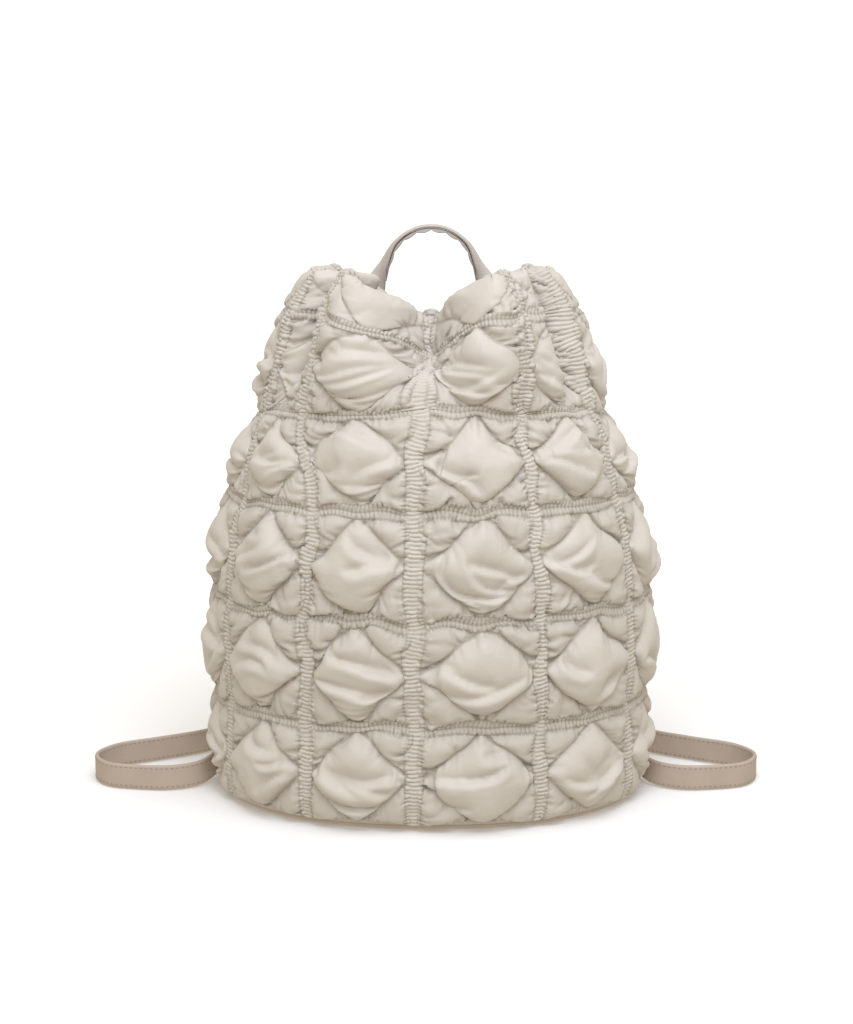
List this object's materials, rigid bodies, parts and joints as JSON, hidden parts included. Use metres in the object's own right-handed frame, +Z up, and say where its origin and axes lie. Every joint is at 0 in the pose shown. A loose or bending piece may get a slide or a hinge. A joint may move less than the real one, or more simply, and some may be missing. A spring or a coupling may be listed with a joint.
{
  "type": "quilted backpack",
  "caption": "Puffy quilted bucket backpack with an open gathered mouth, flat leather base, leather carry handle and leather shoulder straps lying on the floor beside it.",
  "frame": {"origin": "middle of the base panel's underside, on the surface the bag stands on", "axes": "+Z up, +X to the right as seen from the front, +Y from the front to the strapped back"},
  "size_m": [0.4275, 0.2452, 0.3557],
  "materials": {
    "quilted_fabric": "satin",
    "leather": "satin"
  },
  "bodies": {
    "root": {"quilted_body": "quilted_fabric", "gathered_collar": "quilted_fabric", "base_panel": "leather", "carry_handle": "leather", "handle_lining": "leather", "shoulder_strap_right": "leather", "shoulder_strap_left": "leather"}
  },
  "joints": []
}
